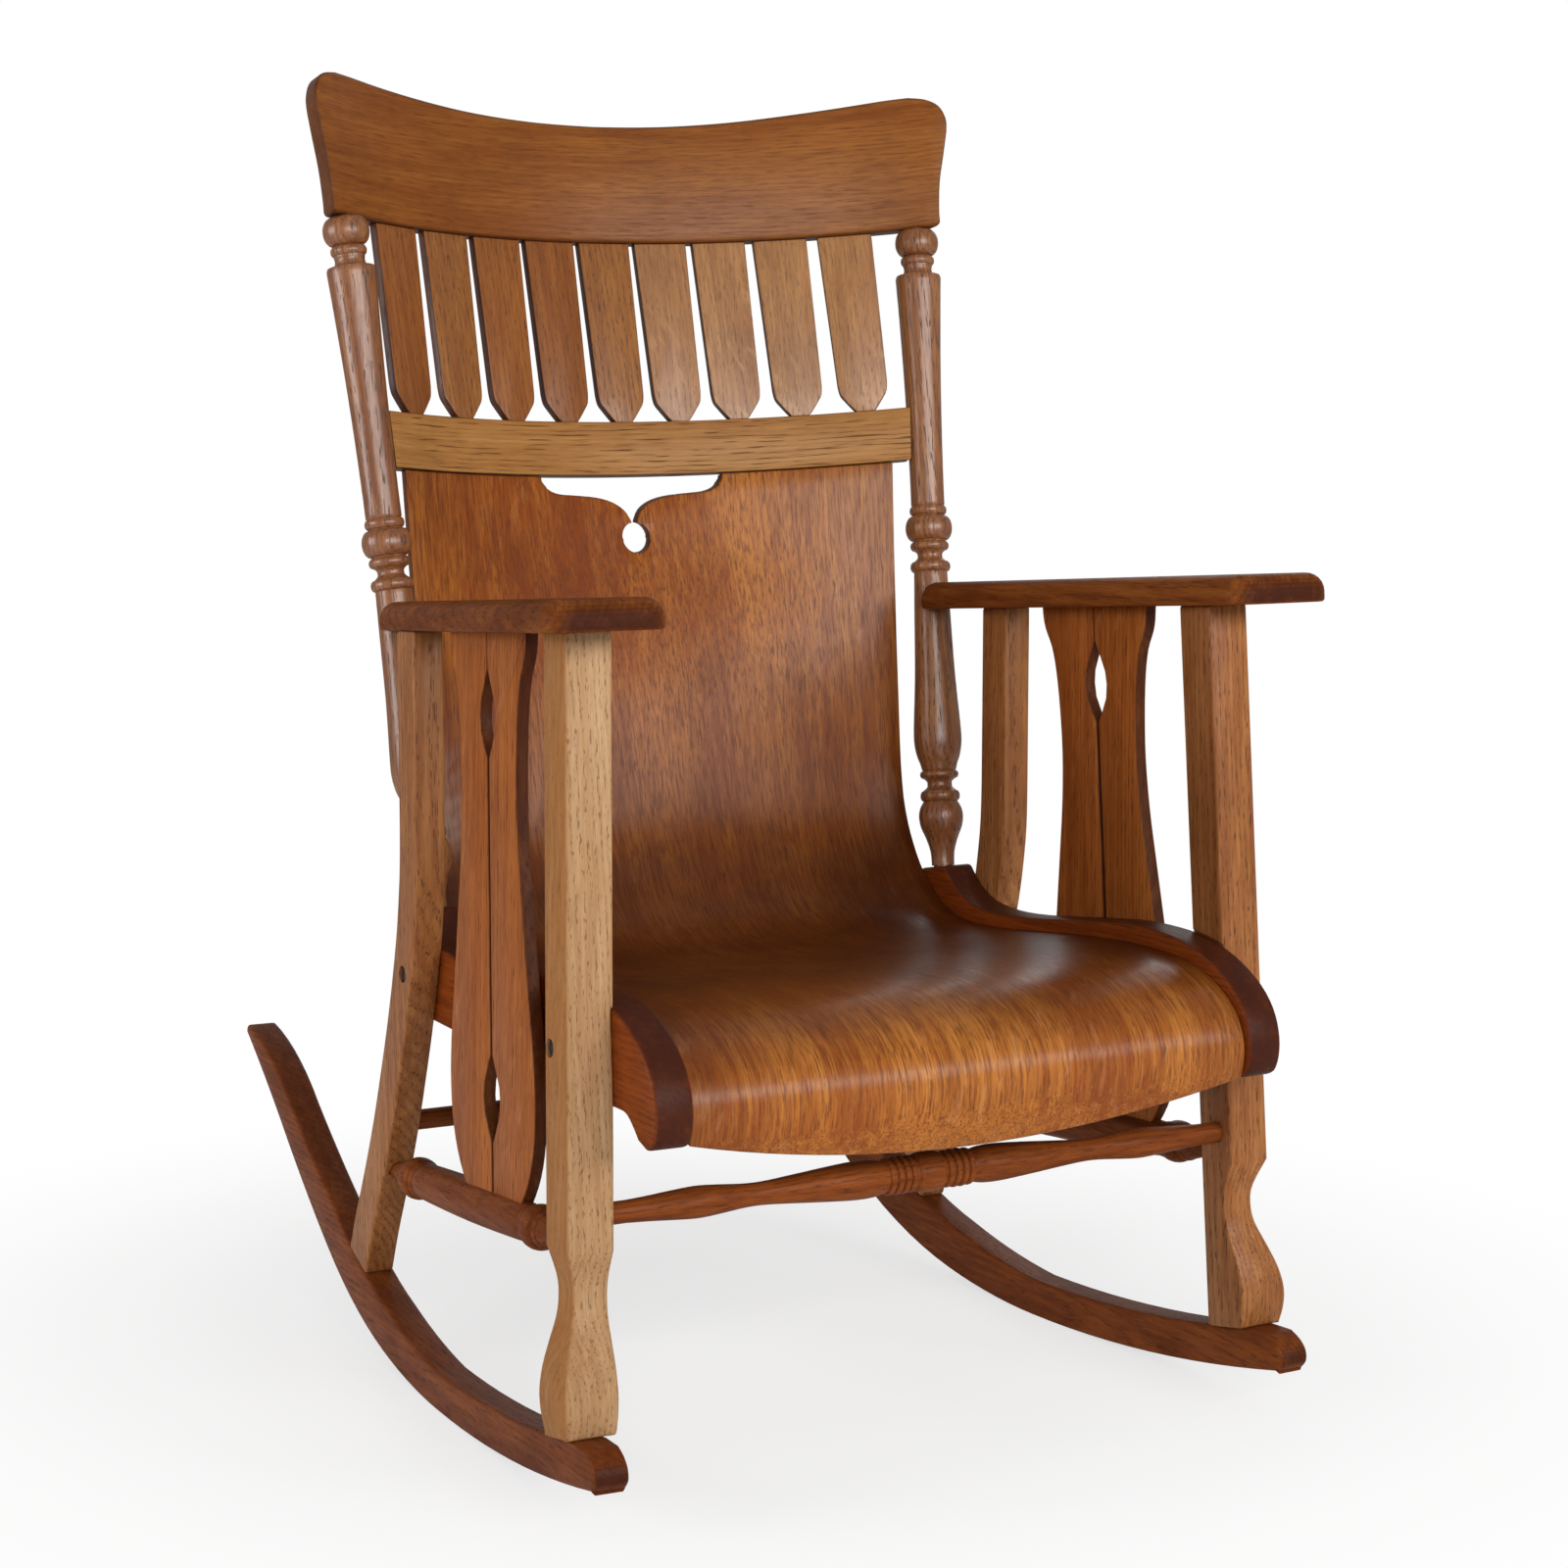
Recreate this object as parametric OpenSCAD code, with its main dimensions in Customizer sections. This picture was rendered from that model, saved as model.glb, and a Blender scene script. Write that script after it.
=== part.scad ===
// Rocking chair with a bent seat panel, built from named pieces.
// Millimetres, floor at z = 0, the sitter faces -Y, +X is the right hand side of a viewer in front.
// The pieces of the right side are drawn once and mirrored for the left side.

/* [Frame] */
// Outer face of the front leg from the middle of the chair
half_width = 286.5; // [260:0.5:310]
// Toe of the side frames, wider at the front, degrees
toe = 1.15; // [0:0.05:3]
// Toe of the rockers, degrees
rocker_toe = 3.1; // [0:0.05:4]
// Outer face of the rocker from the middle, below the seat
rocker_out = 284.7; // [270:0.1:300]
// How far the rockers stand in from the legs
rocker_in = 1.8; // [-5:0.1:10]
// Thickness of the rockers
rocker_thick = 26; // [20:0.5:32]
// Where the rockers touch the floor when the chair is at rest
rest_y = 44; // [-20:0.5:60]
// Forward reach of the seat from the middle of the seat rails
front_reach = 288.5; // [270:0.5:300]
// Clearance of loose fits
play = 0.2; // [0.1:0.05:0.5]

/* [Legs] */
// Front leg, side to side
leg_w = 35; // [28:0.5:42]
// Outward lean of the front leg, degrees
leg_splay = 1.6; // [0:0.1:3]
// Front leg, front to back
leg_deep = 38; // [30:0.5:44]
// Backward lean of the front leg, degrees
leg_lean = 3.2; // [1:0.1:5]
// Height where the shaped foot starts
foot_top = 187; // [160:1:210]
// Rear leg, side to side
rear_w = 24; // [20:0.5:30]
// Rear leg, front to back
rear_deep = 36; // [28:0.5:42]
// Radius of the counterbore of the leg screws
screw_r = 6.5; // [5:0.1:9]
// Depth of the counterbore
screw_deep = 3; // [2:0.1:5]

/* [Arms] */
// Arm thickness
arm_thick = 22; // [18:0.5:28]
// Height of the underside of the arms above the middle of the frame
arm_low = 597.4; // [570:0.1:620]
// Upward slope of the arms to the front, degrees
arm_rise = 4; // [2:0.1:8]
// Radius of the rounding along the upper edges of the arms
arm_ease = 14; // [4:0.5:16]
// Radius of the front corners of the arms
arm_corner = 18; // [17:0.5:28]
// Radius of the notch in each arm around its post
arm_notch = 15.6; // [15:0.1:20]
// Thickness of the slats below the arms
lyre_thick = 10; // [8:0.5:14]
// Gap between the two slats of a pair
lyre_gap = 3.6; // [2:0.1:6]

/* [Seat] */
// Thickness of the seat rails
rail_thick = 29; // [24:0.5:34]
// How far the seat rails are let into the front legs
rail_let = 1.4; // [0:0.1:4]
// Thickness of the bent panel
panel_thick = 9; // [7:0.5:12]
// Gap at the edges of the panel
panel_gap = 0.3; // [0.2:0.05:1]
// Radius of the round hole in the back of the panel
hold_r = 12.5; // [9:0.5:15]
// Height of the middle of this hole
hold_z = 647; // [640:0.5:655]
// Thickness of the cross bars below the seat
bar_thick = 22; // [18:0.5:28]
// Height of the front cross bar
bar_front_high = 40; // [30:1:44]
// Height of the rear cross bar
bar_rear_high = 25; // [20:1:28]
// Length of the cross bars inside each seat rail
bar_tenon = 8; // [4:0.5:14]

/* [Back] */
// Backward lean of the posts, degrees
lean = 10.37; // [6:0.01:14]
// Sideways lean of the posts, degrees
fan = 2.99; // [1:0.01:5]
// How far the posts stand in from the middle of the seat rails
post_in = 2.4; // [0:0.1:5]
// Radius of the curve of the back in plan
back_r = 468; // [420:1:560]
// Depth of the front face of the mid rail at its middle
mid_deep = 61.5; // [55:0.1:75]
// Lower edge of the mid rail along the lean
mid_low = 347.7; // [330:0.1:365]
// Height of the mid rail
mid_high = 44.8; // [38:0.1:52]
// Thickness of the mid rail
mid_thick = 16; // [12:0.5:20]
// How far the ends of the mid rail stop short of the axes of the posts
mid_end = 12; // [8:0.5:15]
// Radius of the hollows in these ends
mid_hollow = 15.5; // [15:0.1:18]
// Depth of the front face of the crest at its middle
crest_deep = 72.5; // [66:0.1:86]
// Lower edge of the crest along the lean
crest_low = 546.5; // [520:0.1:570]
// Thickness of the crest
crest_thick = 20; // [16:0.5:26]
// Gap between two back slats at the crest
slat_gap = 4.6; // [2:0.1:8]
// Gap between two back slats above their shoulders
slat_gap_low = 9.1; // [4:0.1:14]
// Distance from the axis of a post to the nearest back slat, at the crest
slat_end = 31.6; // [26:0.1:36]
// Width of the tip of a back slat
slat_tip = 15; // [10:0.5:20]
// Thickness of the back slats
slat_thick = 8; // [6:0.5:11]

/* [Turnings] */
// Radius of the tenons at the feet of the posts
post_tenon = 8; // [6:0.1:9]
// Length of these tenons inside the seat rails
post_foot = 24; // [16:0.5:40]
// Radius of the tenons at the tops of the posts
top_tenon = 5; // [4:0.1:6]
// Length of these tenons inside the crest
top_foot = 14; // [8:0.5:20]
// Radius of the pins of the side stretchers
side_pin = 6.6; // [5:0.1:8]
// Length of the stretchers inside each leg
pin_deep = 14; // [8:0.5:18]
// Greatest radius of the side stretchers
side_r = 15.8; // [13:0.1:18]
// Radius of the pins of the front stretcher
front_pin = 8; // [6:0.1:9]
// Greatest radius of the front stretcher
front_r = 15; // [12:0.1:17]
// Radius of the plain rear stretcher
rear_r = 8; // [6:0.1:9]

/* [Hidden] */
$fn = 48;
// Foot of the posts on the seat rails, and the middle and underside of the rails
base_y = 150;
base_z = 368;
leg_mid_z = 338;
rail_low_z = 284;
// Height of the feet of the legs on the rockers
foot_z = 44;
// Outer faces of the seat rail and of the rear leg, from the outer face of the front leg
inner = rail_let - leg_w;
rear_out = inner + rear_w;
// Extra outward lean of the legs where the rockers stand further out than the frame
drift = (rocker_out + rocker_in - half_width) / (leg_mid_z - foot_z);
leg_slope = tan(leg_splay) + drift;
lyre_mid = -25;
lyre_splay = -1.3 - atan(drift / 3);
// Axes of the front and rear stretchers, and the places of the leg screws
stick_y = -208;
stick_z = 208;
rear_stick_y = 165;
rear_stick_z = 197;
screw_front = [-189, 324.5];
screw_rear = [117, 324.5];
post_x = half_width + inner - rail_thick / 2 - post_in - base_y * tan(toe);
leg_in_x = half_width - leg_w - stick_y * tan(toe) + (leg_mid_z - stick_z) * leg_slope;
rear_in_x = half_width + inner - rear_stick_y * tan(toe) + (rail_low_z - rear_stick_z) * drift;

// Curves

function through(a, b, c, d, t) =
  0.5 * (2 * b + (c - a) * t + (2 * a - 5 * b + 4 * c - d) * t * t + (3 * b - a - 3 * c + d) * t * t * t);

function smooth(p, n = 4) = [
  for (i = [0 : len(p) - 2], j = [0 : n - 1])
    through(p[max(i - 1, 0)], p[i], p[i + 1], p[min(i + 2, len(p) - 1)], j / n),
  p[len(p) - 1]];

function back(p) = [for (i = [len(p) - 1 : -1 : 0]) p[i]];

function bead(low, high, r, side, n = 8) = [
  for (i = [0 : n]) [r + side * sin(180 * i / n), low + (high - low) * (1 - cos(180 * i / n)) / 2]];

// Rocker curve as [y, z, slope angle]: four arcs that run into each other

front_arc = 1450;
nose_y = -268;
arcs = [[690, 0, 10.2], [455, 10.2, 29.3], [1400, 29.3, 34.9], [-1400, 34.9, 29.6]];

// Depth of the rocker at its front end, where it touches the floor and at the end of each arc
front_depth = 32;
depths = [31, 39.5, 43.5, 35, 8];

function arc_end(r, p, from, to) = [p[0] + r * (sin(to) - sin(from)), p[1] + r * (cos(from) - cos(to))];
function start(k) = k == 0 ? [rest_y, 0] : arc_end(arcs[k - 1][0], start(k - 1), arcs[k - 1][1], arcs[k - 1][2]);

// Points along arc k, as [y, z, slope angle, depth]; the last arc runs out to the tip
function arc_point(k, t) =
  let (from = arcs[k][1], a = from + (arcs[k][2] - from) * t, p = arc_end(arcs[k][0], start(k), from, a))
    [p[0], p[1], a, depths[k] + (depths[k + 1] - depths[k]) * (k == len(arcs) - 1 ? t * t : t)];

a_front = asin((rest_y - nose_y) / front_arc);
tail_end = start(len(arcs));
tread = concat(
  [for (i = [0 : 11]) let (a = -a_front * (1 - i / 12))
    [rest_y + front_arc * sin(a), front_arc * (1 - cos(a)), a, front_depth + (depths[0] - front_depth) * i / 12]],
  [for (k = [0 : len(arcs) - 1], i = [0 : 6]) arc_point(k, i / 7)],
  [arc_point(len(arcs) - 1, 1)]);

upper = [for (q = tread) [q[0] - q[3] * sin(q[2]), q[1] + q[3] * cos(q[2])]];

// Height of the underside of the arms at y
function arm_at(y) = arm_low - y * tan(arm_rise);

// Places of the two sides

module right_side() {
  translate([half_width, 0, 0]) rotate([0, 0, toe]) children();
}

module left() {
  mirror([1, 0, 0]) children();
}

// Upright outline drawn in y and z, from x = a to x = b
module board(a, b) {
  translate([a, 0, 0]) rotate([90, 0, 90]) linear_extrude(b - a) children();
}

// Upright outline drawn in x and z, running through y = a to y = b
module front_board(a, b) {
  translate([0, b, 0]) rotate([90, 0, 0]) linear_extrude(b - a) children();
}

// Frame of the back: x across, y through the thickness, z along the lean
module on_back() {
  translate([0, base_y, base_z]) rotate([-lean, 0, 0]) children();
}

module round_bar(a, b, profile) {
  d = b - a;
  n = norm(d);
  translate(a) rotate([0, acos(d[2] / n), atan2(d[1], d[0])]) rotate_extrude() polygon(profile);
}

// Rockers

module rocker_outline() {
  nose = [[-269, 33], [-275, 40], [-274, 49], [-267, 56], [-257, 60.5]];
  low = [for (q = tread) [q[0], q[1]]];
  top = [for (q = upper) if (q[0] > -250) q];
  polygon(concat(back(smooth(nose, 3)), low, back(top)));
}

module rocker_solid(a, b) {
  translate([rocker_out, 0, 0]) rotate([0, 0, rocker_toe]) board(a, b) rocker_outline();
}

module rocker() {
  color([0.48, 0.27, 0.15]) rocker_solid(-rocker_thick, 0);
}

// Front legs: one outline seen from the side and one seen from the front

foot_bulge = [[-9, 166], [-11, 152], [-9, 137], [-2, 120], [4.5, 103], [7.5, 87], [6.5, 72], [3, 58],
  [0, foot_z]];

leg_back_y = -165;
function leg_front_y(z) = leg_back_y - leg_deep - (600 - z) * tan(leg_lean);
function leg_rear_y(z) = leg_back_y - (600 - z) * tan(leg_lean);

module leg_side_outline() {
  bulge = smooth([for (q = concat([[0, foot_top]], foot_bulge)) [leg_front_y(q[1]) - q[0], q[1]]], 3);
  polygon(concat(
    [[leg_rear_y(610), arm_at(leg_rear_y(610))], [leg_front_y(610), arm_at(leg_front_y(610))]],
    bulge,
    [[leg_rear_y(foot_z), foot_z]]));
}

module leg_face_outline() {
  k = leg_slope;
  bulge = smooth([for (q = concat([[0, foot_top]], foot_bulge)) [q[0] * 0.8 + k * (leg_mid_z - q[1]), q[1]]], 3);
  polygon(concat(
    [[-leg_w + k * (leg_mid_z - 640), 640], [k * (leg_mid_z - 640), 640]],
    bulge,
    [[-leg_w + k * (leg_mid_z - foot_z), foot_z]]));
}

module rail_blank(a, b) {
  board(a, b) rail_outline();
}

side_rear = [inner + rear_w / 2 + (rail_low_z - 158.8) * drift, 164, 158.8];
side_front = [-leg_w / 2 + (leg_mid_z - 190) * leg_slope, leg_rear_y(188.7), 188.7];

// Hole in a leg for a side stretcher, which starts at the face of the leg
module side_hole(a, b) {
  round_bar(a, b, [[0, -pin_deep - play], [side_pin + play, -pin_deep - play], [side_pin + play, 30], [0, 30]]);
}

module front_leg() {
  color([0.78, 0.58, 0.36]) difference() {
    right_side() difference() {
      intersection() {
        board(-60, 40) leg_side_outline();
        front_board(-260, -150) leg_face_outline();
      }
      rail_blank(-80, inner);
      side_hole(side_front, side_rear);
      translate([-screw_deep, screw_front[0], screw_front[1]]) rotate([0, 90, 0])
        cylinder(h = 20, r = screw_r + play);
    }
    rocker_solid(-60, 40);
    translate([leg_in_x - 20, stick_y, stick_z]) rotate([0, 90, 0])
      cylinder(h = 20 + pin_deep + play, r = front_pin + play);
  }
}

// Rear legs

module rear_leg_outline() {
  front = [[84, 640], [84, 540], [84, 470], [84, 418], [87, 385], [95, 343], [112, 286], [130, 237], [150, 188],
    [172, 142], [196, 96], [216, 50]];
  rear = [for (i = [0 : len(front) - 1]) let (f = front[i], g = i < 3 ? 0 : i / 12)
    [f[0] + rear_deep + 3 * g, f[1] + 8 * g]];
  polygon(concat(smooth(front, 3), back(smooth(rear, 3))));
}

// The rear leg seen from the front: it leans out to the rocker below the seat rail
module rear_leg_face() {
  reach = (rail_low_z - foot_z) * drift;
  polygon([[inner, 640], [inner, rail_low_z], [inner + reach, foot_z], [rear_out + reach, foot_z],
    [rear_out, rail_low_z], [rear_out, 640]]);
}

module below_arm() {
  translate([0, 0, arm_low]) rotate([-arm_rise, 0, 0]) translate([-150, -500, -800]) cube([300, 1000, 800]);
}

module rear_leg() {
  color([0.60, 0.36, 0.19]) difference() {
    right_side() difference() {
      intersection() {
        board(-100, 60) rear_leg_outline();
        front_board(60, 300) rear_leg_face();
        below_arm();
      }
      side_hole(side_rear, side_front);
      translate([rear_out - screw_deep, screw_rear[0], screw_rear[1]]) rotate([0, 90, 0])
        cylinder(h = 20, r = screw_r + play);
    }
    rocker_solid(-60, 40);
    translate([rear_in_x - 20, rear_stick_y, rear_stick_z]) rotate([0, 90, 0])
      cylinder(h = 20 + pin_deep + play, r = rear_r + play);
  }
}

// Arms

// Half of an upright cut through a round corner whose upper edge is rounded
module eased_profile(width) {
  polygon(concat(
    [[0, 0], [width, 0]],
    [for (a = [0 : 15 : 90]) [width - arm_ease * (1 - cos(a)), arm_thick - arm_ease * (1 - sin(a))]],
    [[0, arm_thick]]));
}

// Corners of the arm from above, as [x, y, radius]
arm_corners = [
  [28.5 - arm_corner, -262 + arm_corner, arm_corner], [-61 + arm_corner, -262 + arm_corner, arm_corner],
  [-58 + arm_ease, 186 - arm_ease, arm_ease], [-17 - arm_ease, 186 - arm_ease, arm_ease]];

module arm_blank() {
  hull() for (c = arm_corners) translate([c[0], c[1], 0]) rotate_extrude() eased_profile(c[2]);
}

module arm() {
  color([0.55, 0.31, 0.16]) difference() {
    right_side() translate([0, 0, arm_low]) rotate([-arm_rise, 0, 0]) arm_blank();
    post_place() translate([0, 0, 200]) cylinder(h = 70, r = arm_notch);
  }
}

// Slats below the arms: half of a pair, offsets from the line between the two slats

lyre_edge = [[71, 612], [71, 594], [68, 581], [60, 566], [55, 545], [52, 515], [51, 480], [54, 440], [60, 400],
  [68, 350], [76, 305], [79.5, 270], [77, 238], [68, 212], [52, 190], [36, 176]];
lyre_inner = [[0, 612], [0, 572], [4, 562], [11, 548], [12.5, 538], [11, 527], [4, 514], [0, 508], [0, 470], [0, 400],
  [0, 320], [0, 292], [5, 283], [12, 270], [13.5, 260], [12, 249], [5, 236], [0, 228], [0, 176]];

module lyre_outline(s) {
  g = lyre_gap / 2;
  out = smooth([for (q = lyre_edge) [s * (q[0]), q[1]]], 3);
  in = [for (q = lyre_inner) [s * (q[0] + (q[1] > 565 ? g / 3 : g)), q[1]]];
  polygon(concat(out, back(in)));
}

module lyre_blank(s, extra = 0) {
  translate([lyre_mid, -34, 600]) rotate([-3.2, lyre_splay, 0])
    board(-lyre_thick / 2 - extra, lyre_thick / 2 + extra) translate([0, -600]) lyre_outline(s);
}

module arm_slat(s) {
  color([0.58, 0.33, 0.17]) right_side() difference() {
    intersection() {
      lyre_blank(s);
      below_arm();
    }
    translate([0, 0, 182]) rotate([-4.8, 0, 0]) translate([-80, -200, -60]) cube([120, 400, 60]);
  }
}

// Side stretchers

module side_stretcher() {
  n = norm(side_front - side_rear);
  half = [[side_pin, 0], [side_pin, 4], [side_pin + 2, 18], [12, 32]];
  beads = concat(bead(33, 41, 12, 1.6, 6), bead(42, 59, 13.4, 3.2, 8), bead(60, 67, 12.6, 1.8, 6));
  prof = concat(
    [[0, -pin_deep], [side_pin, -pin_deep]], half, beads,
    smooth([[13.6, 69], [14.6, 90], [side_r, n / 2], [14.6, n - 90], [13.6, n - 69]], 4),
    [for (q = back(concat(half, beads))) [q[0], n - q[1]]],
    [[side_pin, n + pin_deep], [0, n + pin_deep]]);
  color([0.50, 0.28, 0.16]) right_side() difference() {
    round_bar(side_rear, side_front, prof);
    for (s = [-1, 1]) intersection() {
      lyre_blank(s, play);
      translate([0, 0, 182]) rotate([-4.8, 0, 0]) translate([-80, -200, 0]) cube([120, 400, 60]);
    }
  }
}

// Front and rear stretchers

module front_stretcher() {
  half = concat(
    [[0, -leg_in_x - pin_deep], [front_pin, -leg_in_x - pin_deep]],
    smooth([[front_pin, -leg_in_x + 16], [9, -225], [11, -198], [11.4, -184], [10, -166], [8.6, -150], [8.4, -136],
      [9.6, -118], [12.6, -82], [14, -60], [13.6, -46], [12, -38]], 3),
    bead(-36, -31, 12, 1.8, 6), bead(-30, -25, 12, 2.2, 6), bead(-24, -19, 12, 2.2, 6), bead(-18, -13, 12, 1.8, 6));
  middle = bead(-11.5, 11.5, 12.4, front_r - 12.4, 10);
  color([0.50, 0.28, 0.16]) translate([0, stick_y, stick_z]) rotate([0, 90, 0])
    rotate_extrude() polygon(concat(half, middle, [for (q = back(half)) [q[0], -q[1]]]));
}

module rear_stretcher() {
  long = 2 * (rear_in_x + pin_deep);
  color([0.42, 0.24, 0.14]) translate([-long / 2, rear_stick_y, rear_stick_z]) rotate([0, 90, 0])
    cylinder(h = long, r = rear_r);
}

// Seat rails

module rail_outline() {
  slope = tan(lean);
  top = [[-271, 265.5], [-281, 270], [-286, 281], [-286.5, 296], [-281, 313], [-269, 328], [-250, 341], [-222, 352.5],
    [-187, 359.5], [-150, 361], [-115, 359.5], [-65, 354], [9, 345], [57, 342.5], [92, 346], [112, 354], [124, 363],
    [132, base_z + (base_y - 132) * slope]];
  end = [[168, base_z + (base_y - 168) * slope], [175, 356], [177, 340], [171, 318], [158, 300],
    [142, 290], [124, 286]];
  low = [[60, 285], [-40, 284.5], [-140, 284.5], [-215, 285], [-236, 284.5], [-247, 279], [-258, 269.5]];
  polygon(concat(smooth(top, 3), smooth(end, 3), smooth(low, 3)));
}

// Cross bar with its middle at y and its upper face at z = top
module bar(y, high, top, extra = 0) {
  long = half_width + inner - rail_thick + bar_tenon - y * tan(toe);
  translate([-long - extra, y - bar_thick / 2 - extra, top - high - extra])
    cube([2 * (long + extra), bar_thick + 2 * extra, high + 2 * extra]);
}

module seat_rail() {
  color([0.58, 0.32, 0.17]) difference() {
    right_side() rail_blank(inner - rail_thick, inner);
    bar(bar_front[0], bar_front_high, bar_front[1], play);
    bar(bar_rear[0], bar_rear_high, bar_rear[1], play);
    post_place() translate([0, 0, -post_foot - play]) cylinder(h = 2 * post_foot, r = post_tenon + play);
  }
}

module cross_bar_front() {
  color([0.50, 0.30, 0.17]) bar(bar_front[0], bar_front_high, bar_front[1]);
}

module cross_bar_rear() {
  color([0.50, 0.30, 0.17]) bar(bar_rear[0], bar_rear_high, bar_rear[1]);
}

// Bent seat panel: one profile at its edges, one at its middle, and a parabola between them

edge_line = [[-279, 267], [-283, 283], [-281, 300], [-270, 318], [-248, 333], [-217, 343.5], [-180, 347.5], [-130, 347.5],
  [-75, 344], [-12, 337.5], [50, 331.5], [95, 331], [130, 340], [157, 361], [174, 386], [185, 412], [194, 452],
  [201, 514], [208, 578], [215, 640]];
middle_line = [[-268, 239], [-276, 262], [-280, 288], [-272, 310], [-250, 328], [-217, 339], [-180, 342.5], [-130, 342],
  [-75, 338], [-12, 331], [52, 325], [100, 325], [137, 334], [166, 357], [183, 386], [196, 412], [208, 452],
  [222, 514], [240, 576], [260, 636]];

top_q = mid_low - panel_gap;
top_mid = mid_deep + 4.5;
top_edge = top_mid - (back_r - sqrt(back_r * back_r - 224 * 224));
function from_back(p, q) = [base_y + p * cos(lean) + q * sin(lean), base_z - p * sin(lean) + q * cos(lean)];

panel_edge = smooth(concat(edge_line, [from_back(top_edge, top_q)]), 3);
panel_mid = smooth(concat(middle_line, [from_back(top_mid, top_q)]), 3);
rows = len(panel_edge) - 1;
cols = 22;

// Place and upper face of a cross bar that lies below the middle of the seat at y
seat_line = [for (q = panel_mid) if (q[1] > 300 && q[0] > -250 && q[0] < 120) q];
function under_seat(y) =
  [y, min([for (s = [-1 : 1]) lookup(y + s * bar_thick / 2, seat_line)]) - panel_thick - panel_gap];
bar_front = under_seat(-150);
bar_rear = under_seat(60);

// How much narrower the panel is above the seat than the space between the seat rails at y = 0
back_inset = [[345, 2.7], [380, 5], [420, 6.6], [560, 4], [640, 1.6], [715, -0.4]];
function panel_half(y, z) = half_width + inner - rail_thick - panel_gap
  - (z < 345 || y < 140 ? y * tan(toe) : lookup(z, back_inset));

function panel_yz(i, v) = panel_mid[i] + (panel_edge[i] - panel_mid[i]) * v * v;

function panel_turn(i, v) =
  let (d = panel_yz(min(i + 1, rows), v) - panel_yz(max(i - 1, 0), v)) [d[1], -d[0]] / norm(d);

function panel_point(i, j, t) =
  let (v = 2 * j / cols - 1, q = panel_yz(i, v), s = panel_edge[i], n = panel_turn(i, v))
    [v * panel_half(s[0], s[1]), q[0] + t * n[0], q[1] + t * n[1]];

module panel_shell() {
  w = cols + 1;
  f = w * (rows + 1);
  points = [for (t = [0, panel_thick], i = [0 : rows], j = [0 : cols]) panel_point(i, j, t)];
  faces = concat(
    [for (i = [0 : rows - 1], j = [0 : cols - 1]) let (a = i * w + j)
      each [[a, a + 1, a + w + 1], [a, a + w + 1, a + w]]],
    [for (i = [0 : rows - 1], j = [0 : cols - 1]) let (a = f + i * w + j)
      each [[a, a + w + 1, a + 1], [a, a + w, a + w + 1]]],
    [for (j = [0 : cols - 1]) each [[j, f + j + 1, j + 1], [j, f + j, f + j + 1]]],
    [for (j = [0 : cols - 1]) let (a = rows * w + j) each [[a, a + 1, f + a + 1], [a, f + a + 1, f + a]]],
    [for (i = [0 : rows - 1]) let (a = i * w) each [[a, a + w, f + a + w], [a, f + a + w, f + a]]],
    [for (i = [0 : rows - 1]) let (a = i * w + cols) each [[a, f + a + w, a + w], [a, f + a, f + a + w]]]);
  polyhedron(points, faces);
}

module cut_outline() {
  half = [[84, 740], [84, 700], [82, 693], [77, 687.5], [67, 684], [50, 682.5], [32, 680.5], [18, 676.5], [8, 670],
    [3, 662]];
  right = smooth(half, 3);
  polygon(concat(right, [[0.8, 656], [-0.8, 656]], back([for (q = right) [-q[0], q[1]]])));
}

module seat_panel() {
  color([0.66, 0.38, 0.18]) difference() {
    panel_shell();
    front_board(190, 320) cut_outline();
    translate([0, 320, hold_z]) rotate([90, 0, 0]) cylinder(h = 130, r = hold_r);
  }
}

// Back posts, turned about their own axis

module post_place() {
  translate([post_x, base_y, base_z]) rotate([-lean, 0, 0]) rotate([0, fan, 0]) children();
}

post_len = crest_low - panel_gap;

module post() {
  prof = concat(
    [[0, -post_foot], [post_tenon, -post_foot], [post_tenon, 0.5], [9.6, 0.5]],
    smooth([[9.6, 2], [10.2, 12], [13.3, 23], [17.4, 33], [18.8, 42], [17.6, 49], [15, 54]], 3),
    bead(55, 64, 14.2, 2.6, 7),
    smooth([[13, 65], [10.8, 67], [10.4, 69.5], [10.8, 72], [13, 74]], 3),
    bead(74.5, 81, 13.8, 2.6, 7),
    smooth([[14.6, 82], [15.8, 87], [18.6, 95], [20.3, 107], [19.8, 122], [18.2, 146], [16.8, 172], [15.4, 215],
      [14.2, 250]], 3),
    bead(251, 260, 14, 3.1, 7),
    smooth([[12.6, 261], [10.8, 263], [10.5, 265], [10.8, 267], [12.6, 269]], 3),
    bead(269.5, 277, 13.6, 2.8, 7),
    bead(278, 299, 14, 5.9, 12),
    bead(300, 307.5, 13.6, 2.2, 6),
    smooth([[14.3, 309], [14.3, 330], [14.9, 380], [16.2, 430], [18, 475], [19.4, 504]], 3),
    [[18.6, 506.5], [12.4, 508.5], [11.8, 512], [12.4, 515.5]],
    bead(516, 523, 12.4, 2, 6),
    bead(524, post_len, 11.4, 7.1, 12),
    [[top_tenon, post_len], [top_tenon, post_len + top_foot], [0, post_len + top_foot]]);
  color([0.62, 0.37, 0.20]) post_place() rotate_extrude() polygon(prof);
}

// Crest, mid rail and slats of the back

module curved(deep, thick, low, high) {
  translate([0, deep - back_r, low]) difference() {
    cylinder(h = high, r = back_r + thick, $fn = 180);
    translate([0, 0, -1]) cylinder(h = high + 2, r = back_r, $fn = 180);
  }
}

// Post axis across the chair, at q along the lean
function post_at(q) = post_x + q * tan(fan);

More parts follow.
